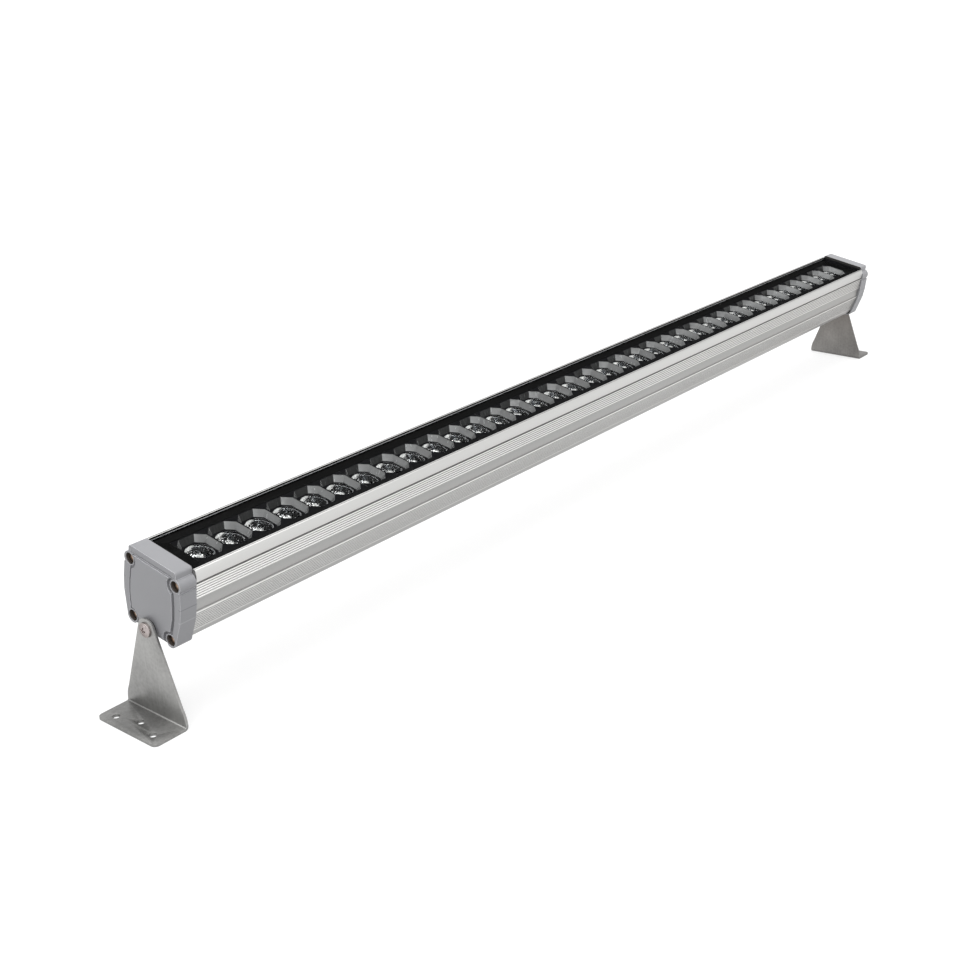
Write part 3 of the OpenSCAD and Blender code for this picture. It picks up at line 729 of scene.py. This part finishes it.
def dome_profile():
    """Clear lens: foot, flared side, flange and domed face, as one closed skin."""
    steps = 10
    flange = LENS_H - 1.6 * MM
    radius = (LENS_R ** 2 + LENS_RISE ** 2) / (2 * LENS_RISE)
    side = [(LENS_FOOT_R, 0), (LENS_FOOT_R, 0.8 * MM), (LENS_R - 0.4 * MM, flange),
            (LENS_R, flange), (LENS_R, LENS_H - 0.1 * MM)]
    dome = []
    for k in range(steps + 1):
        r = (LENS_R - 0.12 * MM) * (1 - k / steps)
        dome.append((r, LENS_H + LENS_RISE - radius + math.sqrt(radius ** 2 - r ** 2)))
    return [(0, 0.02 * MM)] + side + dome


def cup_mesh():
    """Faceted mirror cup that the clear lens shows inside: rings of small flats."""
    work = bmesh.new()
    steps = 22
    rings = 4
    verts = []
    for j in range(rings + 1):
        t = j / rings
        r = CUP_LOW_R + (CUP_TOP_R - CUP_LOW_R) * t ** 0.82
        z = CUP_LIFT + (LENS_H - 2.0 * MM) * t
        verts.append([work.verts.new((r * math.cos(a), r * math.sin(a), z))
                      for a in (2 * math.pi * (k + 0.5 * (j % 2)) / steps for k in range(steps))])
    for j in range(rings):
        for k in range(steps):
            n = (k + 1) % steps
            a, b, c, d = verts[j][k], verts[j][n], verts[j + 1][n], verts[j + 1][k]
            if j % 2:
                work.faces.new((a, b, c))
                work.faces.new((a, c, d))
            else:
                work.faces.new((a, b, d))
                work.faces.new((b, c, d))
    bmesh.ops.recalc_face_normals(work, faces=work.faces)
    return mesh_of(work, "cup")


def walled(mesh, thickness):
    """The open mesh with a wall of its own thickness."""
    shell = link("cup_seed", mesh)
    wall = shell.modifiers.new("wall", "SOLIDIFY")
    wall.thickness = thickness
    wall.offset = -1
    shell = flattened(shell, "cup_walled")
    mesh = shell.data
    bpy.data.objects.remove(shell)
    return mesh


lenses = cell_row("lens_row", revolved("lens", dome_profile(), 40), ACRYLIC, degrees=30)
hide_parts(*[f"lens_set_{i}" for i in BOARDS])

cups = cell_row("lens_cup_row", walled(cup_mesh(), CUP_WALL), FACETS, degrees=4)


# Stage and light

FLOOR_REACH = 40
FLOOR_DROP = 0.2 * MM
FLOOR_GLOW = 0.63
WORLD_LIGHT = 0.45


def floor_look():
    """Pale floor that shows white to the eye and in metal and glass, and keeps its shadow."""
    m = Finish("pale_floor", Specular_IOR_Level=0.1)
    fine = m.noise(40.0)
    m.put("Base Color", m.between(fine, (0.40, 0.40, 0.40), (0.42, 0.42, 0.42)))
    m.put("Roughness", 0.9)
    camera_ray, _, _, glossy_ray, _, _, transmission_ray = m.node("ShaderNodeLightPath")[:7]
    glow = m.node("ShaderNodeEmission", {}, {"Color": (1, 1, 1), "Strength": FLOOR_GLOW})[0]
    plain = Wire(m, m.main.outputs[0])
    both = m.node("ShaderNodeAddShader", {}, {0: plain, 1: glow})[0]
    m.show(m.blend((camera_ray + glossy_ray + transmission_ray).clamp(), plain, both))
    return m.material


def outward(azimuth, height):
    """Direction from the object to a light or the camera, from angles in degrees."""
    a = math.radians(azimuth)
    h = math.radians(height)
    return Vector((math.sin(a) * math.cos(h), -math.cos(a) * math.cos(h), math.sin(h)))


def far_light(name, azimuth, height, spread, strength):
    """Even soft light from far away; azimuth 0 comes from -Y and -90 from -X."""
    data = bpy.data.lights.new(name, "SUN")
    data.angle = math.radians(spread)
    data.energy = strength
    light = link(name, data)
    light.rotation_mode = "QUATERNION"
    light.rotation_quaternion = (-outward(azimuth, height)).to_track_quat("-Z", "Y")


work = bmesh.new()
bmesh.ops.create_grid(work, x_segments=1, y_segments=1, size=FLOOR_REACH)
floor = link("floor", mesh_of(work, "floor"))
floor.location.z = -FLOOR_DROP
floor.data.materials.append(floor_look())

world = bpy.data.worlds.new("studio")
bpy.context.scene.world = world
world.use_nodes = True
sky = world.node_tree
rays = sky.nodes.new("ShaderNodeLightPath")
seen = rays.outputs["Is Camera Ray"]
for kind in ("Is Glossy Ray", "Is Transmission Ray"):
    either = sky.nodes.new("ShaderNodeMath")
    either.operation = "MAXIMUM"
    sky.links.new(seen, either.inputs[0])
    sky.links.new(rays.outputs[kind], either.inputs[1])
    seen = either.outputs[0]
level = sky.nodes.new("ShaderNodeMapRange")
level.inputs["To Min"].default_value = WORLD_LIGHT
level.inputs["To Max"].default_value = 1.0
sky.links.new(seen, level.inputs["Value"])
back = sky.nodes["Background"]
back.inputs["Color"].default_value = (1, 1, 1, 1)
sky.links.new(level.outputs[0], back.inputs["Strength"])

far_light("top_light", azimuth=-60, height=76, spread=80, strength=2.9)
far_light("left_light", azimuth=-121, height=20, spread=24, strength=0.12)
far_light("front_light", azimuth=-25, height=16, spread=36, strength=0.8)


# Camera at the photograph's viewing angle

AZIMUTH = -50.152
ELEVATION = 21.864
ROLL = math.radians(-1.643)
CAMERA_AT = (-0.98155, -0.68529, 0.4868)
FOCAL_PIXELS = 1386.9
PICTURE_PIXELS = 960
SENSOR_WIDTH = 36

camera_data = bpy.data.cameras.new("photo_camera")
camera_data.sensor_width = SENSOR_WIDTH
camera_data.lens = SENSOR_WIDTH * FOCAL_PIXELS / PICTURE_PIXELS
camera_data.clip_start = 0.02
camera_data.clip_end = 100
camera = link("photo_camera", camera_data)
camera.location = CAMERA_AT
out = outward(AZIMUTH, ELEVATION)
right = (-out).cross(Vector((0, 0, 1))).normalized()
up = right.cross(-out)
rolled_right = math.cos(ROLL) * right + math.sin(ROLL) * up
rolled_up = math.cos(ROLL) * up - math.sin(ROLL) * right
camera.rotation_mode = "QUATERNION"
camera.rotation_quaternion = Matrix((rolled_right, rolled_up, out)).transposed().to_quaternion()
bpy.context.scene.camera = camera
bpy.context.scene.view_settings.view_transform = "Standard"
